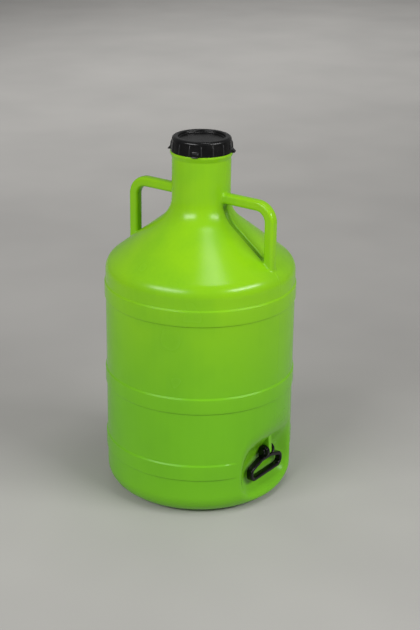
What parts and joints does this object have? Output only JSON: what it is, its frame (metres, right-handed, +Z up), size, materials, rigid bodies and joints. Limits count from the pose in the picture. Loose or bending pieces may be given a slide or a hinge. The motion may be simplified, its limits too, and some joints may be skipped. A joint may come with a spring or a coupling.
{
  "type": "plastic drum",
  "caption": "Blow-moulded plastic drum with carrying handles, a screw cap and a swinging tipping handle in a recess at its foot.",
  "frame": {"origin": "middle of the base, on the surface that the drum stands on", "axes": "+Z up along the drum's axis; -Y towards the tipping handle; the carrying handles lie in the YZ plane"},
  "size_m": [0.3, 0.3, 0.5699],
  "materials": {
    "green_polyethylene": "satin blow-moulded polyethylene",
    "black_plastic": "glossy injection-moulded polypropylene",
    "gasket_rubber": "soft grey rubber"
  },
  "bodies": {
    "drum": {"drum_body": "green_polyethylene"},
    "gasket": {"cap_gasket": "gasket_rubber"},
    "cap": {"screw_cap": "black_plastic"},
    "handle": {"tipping_handle": "black_plastic", "hinge_pin": "black_plastic"}
  },
  "joints": [
    {"name": "cap_lift", "type": "slide", "parent": "drum", "child": "gasket", "axis": [0, 0, 1], "range_m": [0, 0.0091]},
    {"name": "cap_turn", "type": "hinge", "parent": "gasket", "child": "cap", "pos_m": [0, 0, 0.5475], "axis": [0, 0, 1], "range_deg": [0, 540]},
    {"name": "handle_swing", "type": "hinge", "parent": "drum", "child": "handle", "pos_m": [0, -0.13203, 0.083], "axis": [-1, 0, 0], "range_deg": [-4, 110]}
  ],
  "couplings": [
    {"joint": "cap_lift", "follows": "cap_turn", "m_per_rad": 0.00095493}
  ]
}
